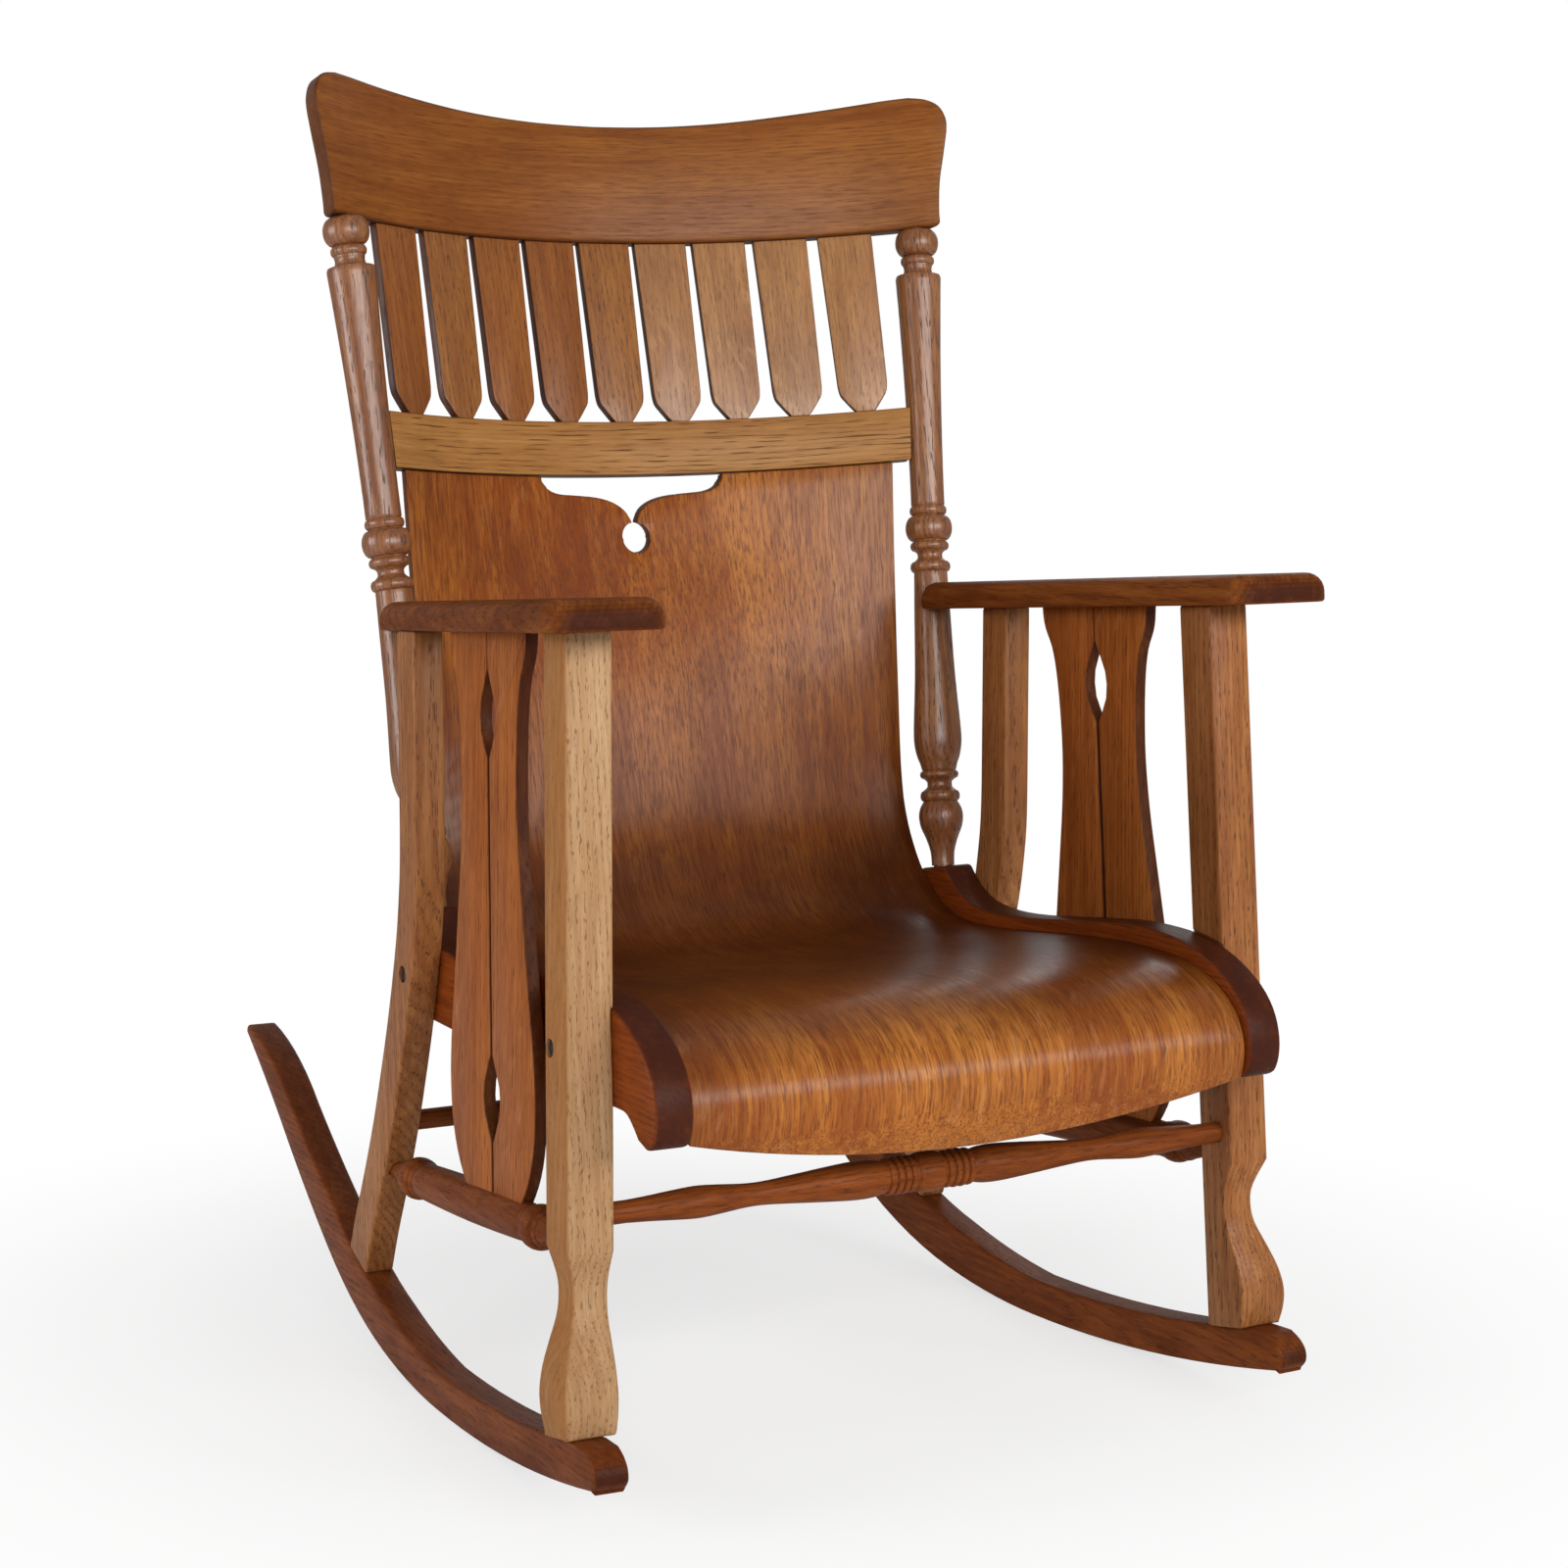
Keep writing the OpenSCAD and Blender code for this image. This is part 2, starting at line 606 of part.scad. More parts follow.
// Outline of the crest: x from the top of the post, height above its lower edge
module crest_outline() {
  w = post_at(crest_low);
  end = [for (q = [[15, 0], [15.5, 15.5], [17.5, 38], [21.5, 60], [25, 80]]) [w + q[0], crest_low + q[1]]];
  nose = [for (q = [[25, 80], [25.3, 91.5], [21, 103.5], [12, 110.5], [0, 113.5]]) [w + q[0], crest_low + q[1]]];
  top = [for (q = [[1, 113.5], [0.93, 113], [0.81, 110.5], [0.65, 107], [0.46, 103], [0.23, 100], [0, 99]])
    [w * q[0], crest_low + q[1]]];
  right = concat(smooth(end, 3), smooth(nose, 4), smooth(top, 3));
  polygon(concat(right, back([for (q = right) [-q[0], q[1]]])));
}

module crest_rail() {
  color([0.63, 0.37, 0.19]) on_back() difference() {
    intersection() {
      curved(crest_deep, crest_thick, crest_low - 1, 130);
      front_board(-60, 130) crest_outline();
    }
    for (s = [0, 1]) mirror([s, 0, 0]) translate([post_x, 0, 0]) rotate([0, fan, 0])
      translate([0, 0, post_len - 20]) cylinder(h = 20 + top_foot + play, r = top_tenon + play);
  }
}

module mid_rail() {
  color([0.66, 0.42, 0.23]) on_back() difference() {
    intersection() {
      curved(mid_deep, mid_thick, mid_low, mid_high);
      translate([mid_end - post_at(mid_low), -60, mid_low - 5])
        cube([2 * (post_at(mid_low) - mid_end), 200, mid_high + 10]);
    }
    for (s = [0, 1]) mirror([s, 0, 0]) translate([post_x, 0, 0]) rotate([0, fan, 0]) translate([0, 0, 300])
      cylinder(h = 140, r = mid_hollow);
  }
}

slat_pitch = (post_at(crest_low) - slat_end + slat_gap / 2) / 4.5;

module slat_outline(long) {
  top = (slat_pitch - slat_gap) / 2;
  low = (slat_pitch - slat_gap_low) / 2;
  tip = slat_tip / 2;
  side = smooth([[tip, 0], [tip + 3.2, 3.6], [low - 5, 11], [low - 1.2, 17], [low, 25]], 3);
  half = concat([[tip, -6]], side, [[top, long + 6]]);
  polygon(concat(half, back([for (q = half) [-q[0], q[1]]])));
}

module back_slat(i) {
  x = (i - 5) * slat_pitch;
  turn = asin(x / back_r);
  mid_high_q = mid_low + mid_high;
  long = crest_low - mid_high_q;
  set = (mid_thick - slat_thick) / 2;
  tip = atan((crest_deep - mid_deep) / long);
  color([0.62, 0.35, 0.18]) on_back() intersection() {
    translate([x, mid_deep + set - (back_r - sqrt(back_r * back_r - x * x)), mid_high_q])
      rotate([-tip, 0, 0]) rotate([0, 0, -turn]) front_board(0, slat_thick) slat_outline(long);
    translate([-300, -60, mid_high_q]) cube([600, 240, long]);
  }
}

// Leg screws

// A round headed screw at the bottom of its counterbore, in the leg face at x
module screw(x, at) {
  head = [[0, 0], [screw_r, 0], [screw_r, 1], [screw_r * 0.7, 2.2], [0, screw_deep - 0.2]];
  color([0.16, 0.13, 0.11]) right_side() translate([x - screw_deep, at[0], at[1]]) rotate([0, 90, 0])
    difference() {
      rotate_extrude() polygon(head);
      translate([-screw_r, -0.9, 1.6]) cube([2 * screw_r, 1.8, 4]);
    }
}

// The chair is drawn about its seat and moved so that the middle of its length is at y = 0
mid_y = (tail_end[0] - front_reach) / 2;

module placed() {
  translate([0, -mid_y, 0]) children();
}

placed() left() rocker();  // rocker_l
placed() rocker();  // rocker_r
placed() left() front_leg();  // front_leg_l
placed() front_leg();  // front_leg_r
placed() left() rear_leg();  // rear_leg_l
placed() rear_leg();  // rear_leg_r
placed() left() arm();  // arm_l
placed() arm();  // arm_r
placed() left() arm_slat(-1);  // arm_slat_front_l
placed() left() arm_slat(1);  // arm_slat_rear_l
placed() arm_slat(-1);  // arm_slat_front_r
placed() arm_slat(1);  // arm_slat_rear_r
placed() left() side_stretcher();  // side_stretcher_l
placed() side_stretcher();  // side_stretcher_r
placed() front_stretcher();
placed() rear_stretcher();
placed() left() seat_rail();  // seat_rail_l
placed() seat_rail();  // seat_rail_r
placed() seat_panel();
placed() cross_bar_front();
placed() cross_bar_rear();
placed() left() post();  // post_l
placed() post();  // post_r
placed() crest_rail();
placed() mid_rail();
placed() back_slat(1);  // back_slat_1
placed() back_slat(2);  // back_slat_2
placed() back_slat(3);  // back_slat_3
placed() back_slat(4);  // back_slat_4
placed() back_slat(5);  // back_slat_5
placed() back_slat(6);  // back_slat_6
placed() back_slat(7);  // back_slat_7
placed() back_slat(8);  // back_slat_8
placed() back_slat(9);  // back_slat_9
placed() left() screw(0, screw_front);  // screw_front_l
placed() screw(0, screw_front);  // screw_front_r
placed() left() screw(rear_out, screw_rear);  // screw_rear_l
placed() screw(rear_out, screw_rear);  // screw_rear_r
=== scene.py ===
import itertools
import math

import bmesh
import bpy
from mathutils import Matrix, Vector
from mathutils.bvhtree import BVHTree


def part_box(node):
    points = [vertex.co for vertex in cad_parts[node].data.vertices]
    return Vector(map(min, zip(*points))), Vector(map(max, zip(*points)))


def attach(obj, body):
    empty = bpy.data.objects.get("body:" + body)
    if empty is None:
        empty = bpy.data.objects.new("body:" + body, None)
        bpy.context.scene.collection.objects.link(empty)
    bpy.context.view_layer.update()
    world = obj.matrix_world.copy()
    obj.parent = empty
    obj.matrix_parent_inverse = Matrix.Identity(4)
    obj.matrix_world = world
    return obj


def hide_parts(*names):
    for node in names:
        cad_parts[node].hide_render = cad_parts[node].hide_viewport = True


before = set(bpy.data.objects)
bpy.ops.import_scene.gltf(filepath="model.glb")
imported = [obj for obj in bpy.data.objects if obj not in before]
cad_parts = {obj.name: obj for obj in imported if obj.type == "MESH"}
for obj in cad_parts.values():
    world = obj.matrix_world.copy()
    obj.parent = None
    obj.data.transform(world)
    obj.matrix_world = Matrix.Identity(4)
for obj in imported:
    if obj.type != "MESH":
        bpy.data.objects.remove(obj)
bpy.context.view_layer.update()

bl_info = {
    "name": "Oak rocking chair",
    "version": (1, 0, 0),
    "blender": (4, 5, 0),
    "location": "3D View > Sidebar > Chair",
    "description": "Dresses the rocking chair's wooden pieces, its stage and its camera",
    "category": "Object",
}

# Directions, and places in metres

SIDES = {"l": -1, "r": 1}
ACROSS = Vector((1, 0, 0))
ALONG = Vector((0, 1, 0))
UP = Vector((0, 0, 1))
# How far behind the drawing's origin the middle of the chair lies
MIDDLE = 0.12257
# How far the back leans, and how far each lyre turns from straight front to back
LEAN = math.radians(10.37)
TOE = math.radians(1.15)
BACK_UP = Vector((0, math.sin(LEAN), math.cos(LEAN)))
BACK_OUT = Vector((0, -math.cos(LEAN), math.sin(LEAN)))
# The foot of the line of the posts, halfway between them
BACK_FOOT = Vector((0, 0.150 - MIDDLE, 0.368))
# The curved rails of the back: their radius, and how far the middle of each lies behind the posts
BACK_CURVE = 0.468
MID_RAIL_DEEP = 0.0615
CREST_DEEP = 0.0725
# Above this height the short edges of the crest belong to its rounded ends
CREST_ENDS = 0.95
# The slats of the back from left to right, and the distance between them along the curve. The four on the
# right are painted paler, a painted satin sheen
SLAT_KINDS = ("slat_red", "slat", "slat_red", "slat_red", "slat",
              "slat_pale", "slat_pale", "slat_pale", "slat_pale")
SLAT_PITCH = 0.0516

# The bent panel

# Its edge from the front lip to the mid rail, as y and z in millimetres of the drawing
PANEL_DRAWN = [(-279, 267), (-283, 283), (-281, 300), (-270, 318), (-248, 333), (-217, 343.5), (-180, 347.5),
               (-130, 347.5), (-75, 344), (-12, 337.5), (50, 331.5), (95, 331), (130, 340), (157, 361),
               (174, 386), (185, 412), (194, 452), (201, 514), (208, 578), (215, 640), (224, 705)]
PANEL_LINE = [(y / 1000 - MIDDLE, z / 1000) for y, z in PANEL_DRAWN]
# Half of its width, in metres
PANEL_HALF = 0.22
# In metres along the grain from the lip: where the crook is darkest, and how far its grime and painted shade
# reach over the seat and up the back
CROOK = 0.475
OVER_SEAT = 0.383
UP_BACK = 0.12
# Likewise, where the front roll is palest and how far that reaches, and where the back starts to pale and is
# palest: worn finish with a painted highlight on the roll and a painted satin sheen on the back
ROLL = 0.05
ROLL_REACH = 0.06
BACK_PALES = 0.55
BACK_PALEST = 0.8
# In metres across the back, where the paler side with its painted sheen starts and where it is palest
PALE_FROM = -0.02
PALE_TO = 0.18

# Mesh work, in metres and degrees

# Corners closer than this are one corner
WELD = 0.00002
# Faces that turn by less than this become one face
FLAT_TURN = 0.4
# Edges that turn by less than this are shaded smooth
SMOOTH_TURN = 32
# Edges of sockets and counterbores are shorter than this and stay sharp
SOCKET_EDGE = 0.00125
# Rows of faces in a rounded arris
ARRIS_STEPS = 3
# A rounded corner that leaves the piece by more than this, or this share of the rounding, goes back onto it
STRAY = 0.0015
STRAY_SHARE = 0.6
# Each piece is cut from its own log, this far from the last one along the grain
LOG_SHIFT = 3.1
LOGS = itertools.count(1)

# Figure of the oak

# Noise patterns, in spots a metre along the grain, across it and through the board
WAVES = {
    "wander": (2.2, 22, 22),
    "drift": (0.35, 0, 0),
    "crowd": (12, 34, 34),
    "fibre": (42, 620, 620),
    "streak": (9, 150, 150),
    "cloud": (1.6, 13, 13),
    "patch": (4, 9, 9),
    "rub_and_sheen": (30, 90, 90),
    "threads": (50, 300, 700),
}
PORES_ACROSS = 1150.0
RINGS_A_METRE = 230.0
# The pith lies this far beside the board and below it, so that the rings cross its face as straight lines
PITH_BESIDE = 0.1
PITH_BELOW = 0.055
# How much of the stain covers a sawn edge, and how many times brighter worn wood with its painted sheen is in
# red, green and blue
STAIN_COVER = 0.92
BARE_AND_SHEEN = (1.3, 1.62, 2.3)
# How deep the pores are for the bump, in metres
PORE_DEPTH = 0.0004

# Camera and studio, in metres, millimetres of lens, and watts

CAMERA_PLACE = (-1.2141, -2.2056 - MIDDLE, 0.7873)
CAMERA_LOOK = Vector((0.47046, 0.87332, -0.12639))
SENSOR = 36.0
LENS = 75.4
LENS_SHIFT = (0.0162, 0.0018)
# Where each lamp stands, the point that it faces, its width and height, its watts and its colour
LAMPS = {
    "window": dict(spot=(0.1, -3.6, 1.6), aim=(0, -0.1, 0.55), width=4.6, height=0.9, power=124.0,
                   colour=(1.0, 0.99, 0.97)),
    "side_fill": dict(spot=(-3.2, 0.4, 1.1), aim=(0, 0, 0.45), width=1.6, height=1.2, power=44.0),
    "ceiling": dict(spot=(0.3, 0.0, 3.2), aim=(0, 0, 0.4), width=2.4, height=1.7, power=3.0),
    "rim": dict(spot=(2.2, 2.4, 1.9), aim=(0, 0, 0.6), width=1.6, height=1.1, power=8.0),
}
# Light of the world on the chair, and what its reflections and the camera see on top of that
WORLD_LIGHT = 0.18
WORLD_IN_GLOSS = 0.15
WORLD_IN_VIEW = 0.82
# The floor's own colour, what the camera sees on top of its lit colour, and its radius
FLOOR_GREY = 0.93
FLOOR_GLOW = 0.12
FLOOR_RADIUS = 30.0
# The floor's white takes over between these distances from the chair, from this share up to all of it
FADE_FROM = 0.2
FADE_TO = 0.95
FADE_START = 0.62


def size(name, description, default):
    return bpy.props.FloatProperty(name=name, description=description, default=default, unit="LENGTH",
                                   precision=4, min=0.0)


def tint(name, description, rgb):
    return bpy.props.FloatVectorProperty(name=name, description=description, subtype="COLOR", size=3,
                                         default=rgb, min=0.0, max=1.0)


class ChairEdges(bpy.types.PropertyGroup):
    """How far each kind of piece is rounded at its arrises"""
    leg: size("Leg arris", "Rounding of the legs", 0.0022)
    arm: size("Arm edge", "Rounding of the lower edges of the arms", 0.0025)
    crest: size("Crest edge", "Rounding of the crest", 0.0036)
    slat: size("Slat edge", "Rounding of the mid rail and of all slats", 0.0011)
    rail: size("Rail edge", "Rounding of the seat rails", 0.003)
    bar: size("Cross bar edge", "Rounding of the bars below the seat", 0.0015)
    rocker: size("Rocker edge", "Rounding of the rockers", 0.0028)
    panel: size("Panel edge", "Rounding of the bent panel", 0.0014)


class ChairColours(bpy.types.PropertyGroup):
    """Colours of the wood and the screws"""
    crest_light: tint("Crest light", "Light wood of the crest", (0.3337, 0.1166, 0.0209))
    crest_deep: tint("Crest deep", "Deep wood of the crest", (0.2069, 0.05702, 0.00847))
    slat_light: tint("Slat light", "Light wood of the slats of the back", (0.3759, 0.1463, 0.029))
    slat_deep: tint("Slat deep", "Deep wood of the slats of the back", (0.2237, 0.06784, 0.012))
    slat_red_light: tint("Red slat light", "Light wood of the redder slats", (0.345, 0.1176, 0.022))
    slat_red_deep: tint("Red slat deep", "Deep wood of the redder slats", (0.205, 0.0567, 0.0095))
    # The paler slats on the right of the back: their paler colour is a painted satin sheen
    slat_pale_light: tint("Pale slat light", "Light wood of the paler slats", (0.5246, 0.2553, 0.088))
    slat_pale_deep: tint("Pale slat deep", "Deep wood of the paler slats", (0.327, 0.1325, 0.0416))
    mid_light: tint("Mid rail light", "Light wood of the mid rail", (0.4725, 0.2323, 0.06934))
    mid_deep: tint("Mid rail deep", "Deep wood of the mid rail", (0.3215, 0.1288, 0.0337))
    leg_light: tint("Leg light", "Light wood of the legs", (0.4696, 0.1966, 0.06003))
    leg_deep: tint("Leg deep", "Deep wood of the legs", (0.2566, 0.08424, 0.02381))
    post_light: tint("Post light", "Light wood of the turned posts", (0.4045, 0.1686, 0.05449))
    post_deep: tint("Post deep", "Deep wood of the turned posts", (0.2077, 0.06525, 0.01964))
    lyre_light: tint("Lyre light", "Light wood of the slats below the arms", (0.4499, 0.1404, 0.02732))
    lyre_deep: tint("Lyre deep", "Deep wood of the slats below the arms", (0.2612, 0.06289, 0.01056))
    rail_light: tint("Rail light", "Light wood of the seat rails", (0.2762, 0.05825, 0.0077))
    rail_deep: tint("Rail deep", "Deep wood of the seat rails", (0.1557, 0.02631, 0.00308))
    arm_light: tint("Arm light", "Light wood of the arms", (0.2964, 0.09, 0.0165))
    arm_deep: tint("Arm deep", "Deep wood of the arms", (0.1417, 0.0333, 0.00675))
    pale_light: tint("Pale light", "Light wood of the worn leg", (0.5528, 0.3534, 0.1901))
    pale_deep: tint("Pale deep", "Deep wood of the worn leg", (0.3948, 0.2121, 0.09445))
    panel_light: tint("Panel light", "Light wood of the bent panel", (0.4847, 0.1555, 0.02079))
    panel_deep: tint("Panel deep", "Deep wood of the bent panel", (0.2431, 0.05102, 0.005148))
    runner_light: tint("Runner light", "Light wood of rockers and stretchers", (0.2787, 0.07342, 0.01521))
    runner_deep: tint("Runner deep", "Deep wood of rockers and stretchers", (0.134, 0.02962, 0.006435))
    stain: tint("Edge stain", "Dark stain on sawn edges and end grain", (0.044, 0.0115, 0.0068))
    # Stain on the sides of the worn leg; it also paints those sides darker than the front, as painted shade
    pale_stain: tint("Pale leg stain", "Stain on the sides of the worn leg", (0.36, 0.125, 0.018))
    # Colour of old grime, which also paints the shade in the crook of the seat
    soot: tint("Grime", "Old grime in the bends and corners", (0.045, 0.0085, 0.0015))
    pore: tint("Pores", "Dirt and stain in the pores", (0.055, 0.016, 0.005))
    iron: tint("Iron", "Screw heads", (0.03, 0.024, 0.02))


def settings():
    return bpy.context.scene.chair_edges, bpy.context.scene.chair_colours


# Shader helpers

class Nodes:
    """Short calls that add and join the nodes of one tree"""

    def __init__(self, tree):
        self.tree = tree

    def add(self, kind, **values):
        node = self.tree.nodes.new(kind)
        for key, value in values.items():
            setattr(node, key, value)
        return node

    def put(self, socket, value):
        if hasattr(value, "is_output"):
            self.tree.links.new(value, socket)
        elif value is not None:
            socket.default_value = value

    def attribute(self, name, output):
        return self.add("ShaderNodeAttribute", attribute_name=name).outputs[output]

    def math(self, operation, a, b=None, clamp=False):
        node = self.add("ShaderNodeMath", operation=operation, use_clamp=clamp)
        self.put(node.inputs[0], a)
        self.put(node.inputs[1], b)
        return node.outputs[0]

    def times(self, a, b, clamp=False):
        return self.math("MULTIPLY", a, b, clamp)

    def plus(self, a, b, clamp=False):
        return self.math("ADD", a, b, clamp)

    def minus(self, a, b):
        return self.math("SUBTRACT", a, b)

    def vector(self, operation, a, b):
        node = self.add("ShaderNodeVectorMath", operation=operation)
        self.put(node.inputs[0], a)
        self.put(node.inputs[1], b)
        return node.outputs[0]

    def split(self, vector):
        node = self.add("ShaderNodeSeparateXYZ")
        self.put(node.inputs[0], vector)
        return node.outputs

    def join(self, x, y, z):
        node = self.add("ShaderNodeCombineXYZ")
        for socket, value in zip(node.inputs, (x, y, z)):
            self.put(socket, value)
        return node.outputs[0]

    def noise(self, vector, stretch=None, detail=2.0, rough=0.5, scale=1.0):
        node = self.add("ShaderNodeTexNoise")
        self.put(node.inputs["Vector"], self.vector("MULTIPLY", vector, stretch) if stretch else vector)
        self.put(node.inputs["Scale"], scale)
        self.put(node.inputs["Detail"], detail)
        self.put(node.inputs["Roughness"], rough)
        return node.outputs["Fac"]

    def ramp(self, value, low, high, to_low=0.0, to_high=1.0):
        node = self.add("ShaderNodeMapRange", interpolation_type="SMOOTHSTEP")
        for socket, part in zip(node.inputs, (value, low, high, to_low, to_high)):
            self.put(socket, part)
        return node.outputs[0]

    def mix(self, factor, a, b):
        """A Mix node's colours are its sockets 6 and 7, and its mixed colour is its output 2"""
        node = self.add("ShaderNodeMix", data_type="RGBA", blend_type="MIX")
        self.put(node.inputs["Factor"], factor)
        self.put(node.inputs[6], a)
        self.put(node.inputs[7], b)
        return node.outputs[2]

    def placed(self, tree, values):
        """A node group with the values of its named inputs"""
        node = self.add("ShaderNodeGroup", node_tree=tree)
        for label, value in values.items():
            self.put(node.inputs[label], value)
        return node.outputs


FLOAT, VECTOR, COLOUR = "NodeSocketFloat", "NodeSocketVector", "NodeSocketColor"


def group(name, inputs, outputs):
    """An empty shader group with named sockets"""
    tree = bpy.data.node_groups.new(name, "ShaderNodeTree")
    for label, kind in inputs.items():
        tree.interface.new_socket(label, in_out="INPUT", socket_type=kind)
    for label, kind in outputs.items():
        tree.interface.new_socket(label, in_out="OUTPUT", socket_type=kind)
    nodes = Nodes(tree)
    return tree, nodes, nodes.add("NodeGroupInput").outputs, nodes.add("NodeGroupOutput").inputs


def rgba(colour):
    return (colour[0], colour[1], colour[2], 1.0)


def oak_figure():
    """Oak: year rings, pores, fibre and ray fleck, with the grain along the first coordinate"""
    tree, n, given, out = group(
        "oak_figure",
        {"Grain": VECTOR, "Light": COLOUR, "Deep": COLOUR, "Pore": COLOUR, "Pores": FLOAT, "Dashes": FLOAT,
         "Rings": FLOAT, "Fleck": FLOAT, "Fibre": FLOAT},
        {"Color": COLOUR, "Dull": FLOAT, "Height": FLOAT})
    grain, light, deep = given["Grain"], given["Light"], given["Deep"]
    # The grain wanders a little to either side
    wander = n.times(n.minus(n.noise(grain, WAVES["wander"], 3.0, 0.55), 0.5), 0.012)
    x, y, z = n.split(n.vector("ADD", grain, n.join(0.0, wander, wander)))
    # Year rings around the pith
    drift = n.times(n.minus(n.noise(grain, WAVES["drift"], 0.0), 0.5), 0.06)
    beside = n.plus(y, n.plus(drift, PITH_BESIDE))
    below = n.plus(z, PITH_BELOW)
    far = n.math("SQRT", n.plus(n.times(beside, beside), n.times(below, below)))
    year = n.math("FRACT", n.times(far, RINGS_A_METRE))
    early = n.times(n.ramp(year, 0.0, 0.12), n.ramp(year, 0.32, 0.6, 1.0, 0.0))
    # Pores: dark dashes that crowd in the early wood of each year
    dashes = n.join(n.times(x, given["Dashes"]), n.times(y, PORES_ACROSS), n.times(z, PORES_ACROSS))
    crowd = n.minus(n.noise(grain, WAVES["crowd"], 1.0, 0.5), 0.5)
    gate = n.minus(n.minus(0.755, n.times(early, 0.19)), n.times(crowd, 0.05))
    pore = n.ramp(n.minus(n.noise(dashes, None, 0.0, 0.4), gate), 0.0, 0.1)
    pore = n.times(pore, given["Pores"], clamp=True)
    # Light and deep wood in broad clouds and narrow streaks, with fine dark fibre
    fibre = n.noise(grain, WAVES["fibre"], 3.0, 0.62)
    streak = n.noise(grain, WAVES["streak"], 3.0, 0.6)
    cloud = n.noise(grain, WAVES["cloud"], 3.0, 0.55)
    tone = n.ramp(n.plus(n.times(cloud, 0.55), n.times(streak, 0.45)), 0.34, 0.66)
    colour = n.mix(tone, light, deep)
    colour = n.mix(n.times(n.times(early, given["Rings"]), 0.5), colour, deep)
    threads = n.times(n.ramp(fibre, 0.44, 0.68), given["Fibre"])
    colour = n.mix(threads, colour, n.mix(0.45, deep, given["Pore"]))
    # Ray fleck: short satin flakes that lie askew to the grain
    askew = n.join(n.plus(n.times(x, 22.0), n.times(y, 34.0)),
                   n.minus(n.times(y, 105.0), n.times(x, 42.0)),
                   n.times(z, 60.0))
    flake = n.times(n.ramp(n.noise(askew, None, 3.0, 0.6), 0.56, 0.68), given["Fleck"])
    flake = n.times(flake, n.ramp(n.noise(grain, WAVES["patch"], 1.0), 0.42, 0.62))
    colour = n.mix(flake, colour, n.mix(0.12, light, (1.0, 0.8, 0.55, 1.0)))
    colour = n.mix(n.times(pore, 0.9), colour, given["Pore"])
    n.put(out["Color"], colour)
    n.put(out["Dull"], n.plus(n.plus(n.times(pore, 0.22), n.times(fibre, 0.16)), n.times(flake, -0.1)))
    n.put(out["Height"], n.minus(n.times(fibre, 0.35), pore))
    return tree


def oak_wear():
    """Dark stain on sawn edges, old grime with painted shade in the crook of the seat, and finish worn pale
    with a painted sheen
    """
    tree, n, given, out = group(
        "oak_wear",
        {"Grain": VECTOR, "Place": VECTOR, "Color": COLOUR, "Edge": FLOAT, "Crook": FLOAT, "Stain": COLOUR,
         "Soot": COLOUR, "Grime": FLOAT, "Worn": FLOAT, "Bare": VECTOR},
        {"Color": COLOUR, "Dull": FLOAT})
    rub_and_sheen = n.noise(given["Grain"], WAVES["rub_and_sheen"], 4.0, 0.6)
    edge = n.times(given["Edge"], n.ramp(rub_and_sheen, 0.2, 0.55, 0.72, 1.0))
    edge = n.times(edge, STAIN_COVER, clamp=True)
    cloud = n.noise(given["Place"], None, 5.0, 0.62, 9.0)
    grime = n.times(n.ramp(cloud, 0.46, 0.72), given["Grime"])
    crook = n.times(given["Crook"], n.ramp(cloud, 0.25, 0.7, 0.8, 1.0), clamp=True)
    worn = n.times(given["Worn"], n.ramp(rub_and_sheen, 0.3, 0.65, 0.7, 1.0), clamp=True)
    # Worn finish and a painted sheen: where the panel's mask is set the wood turns paler and pinker
    colour = n.mix(worn, given["Color"], n.vector("MULTIPLY", given["Color"], given["Bare"]))
    colour = n.mix(n.times(grime, 0.6), colour, given["Soot"])
    # Painted shade with real grime: the crook of the seat darkens towards the grime colour
    colour = n.mix(crook, colour, given["Soot"])
    threads = n.noise(given["Grain"], WAVES["threads"], 3.0, 0.6)
    stain = n.mix(n.ramp(threads, 0.4, 0.7, 0.0, 0.4), given["Stain"], given["Soot"])
    n.put(out["Color"], n.mix(edge, colour, stain))
    n.put(out["Dull"], n.plus(n.times(edge, 0.05), n.times(grime, 0.12)))
    return tree


def shared(build):
    """A node group that is built once, under its function's name"""
    return bpy.data.node_groups.get(build.__name__) or build()


